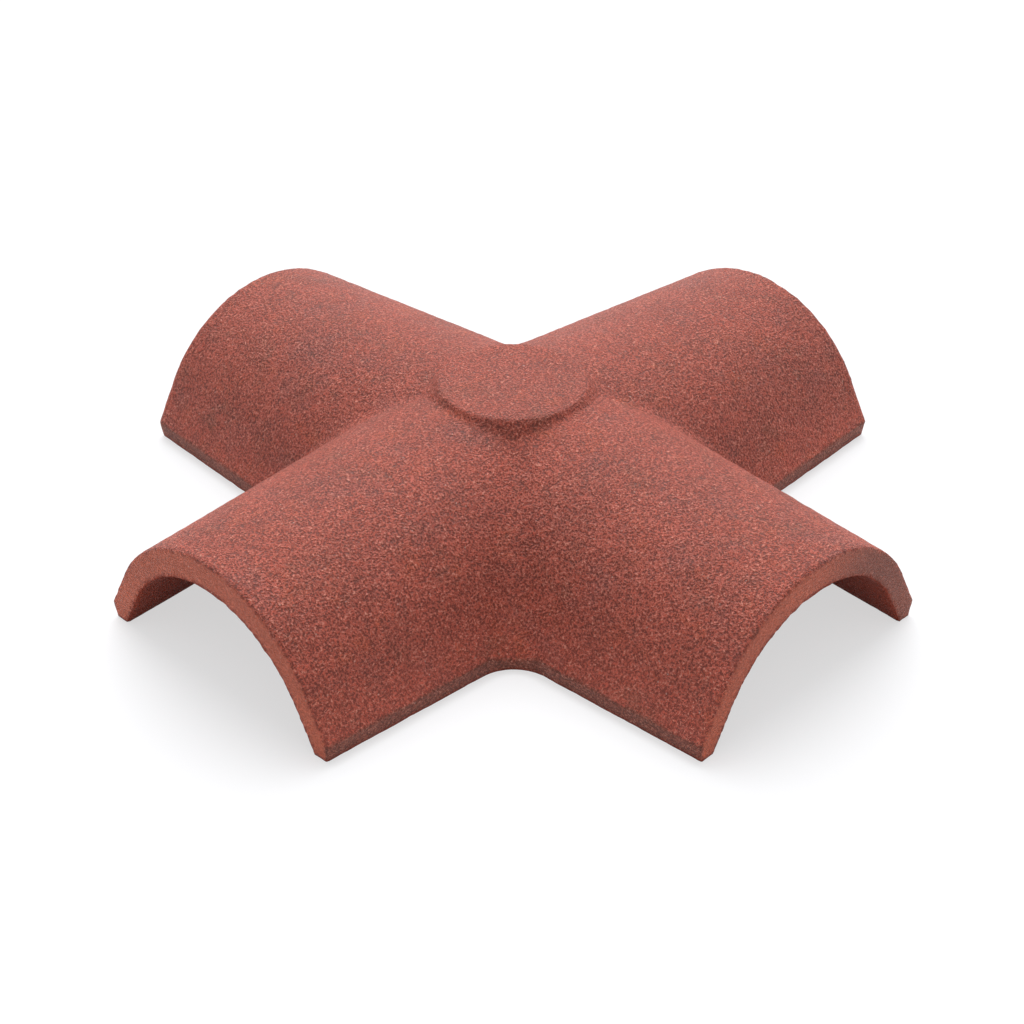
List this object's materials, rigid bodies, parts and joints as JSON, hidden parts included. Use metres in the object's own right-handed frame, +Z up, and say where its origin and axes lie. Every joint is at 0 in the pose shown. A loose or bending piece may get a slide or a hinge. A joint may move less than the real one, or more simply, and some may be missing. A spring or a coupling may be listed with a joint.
{
  "type": "four-way apex tile",
  "caption": "One-piece cast concrete apex tile: arched arms leave a crossing at right angles to cap the point where ridges meet, with a round pad on top that seats a finial.",
  "frame": {"origin": "middle of the tile in the plane of its bedding strips", "axes": "+Z up through the middle of the pad; arms along +X, -X, +Y and -Y"},
  "size_m": [0.56, 0.56, 0.1192],
  "materials": {
    "red_concrete": "matte, granular, through-coloured red concrete"
  },
  "bodies": {
    "root": {"apex_tile": "red_concrete"}
  },
  "joints": []
}
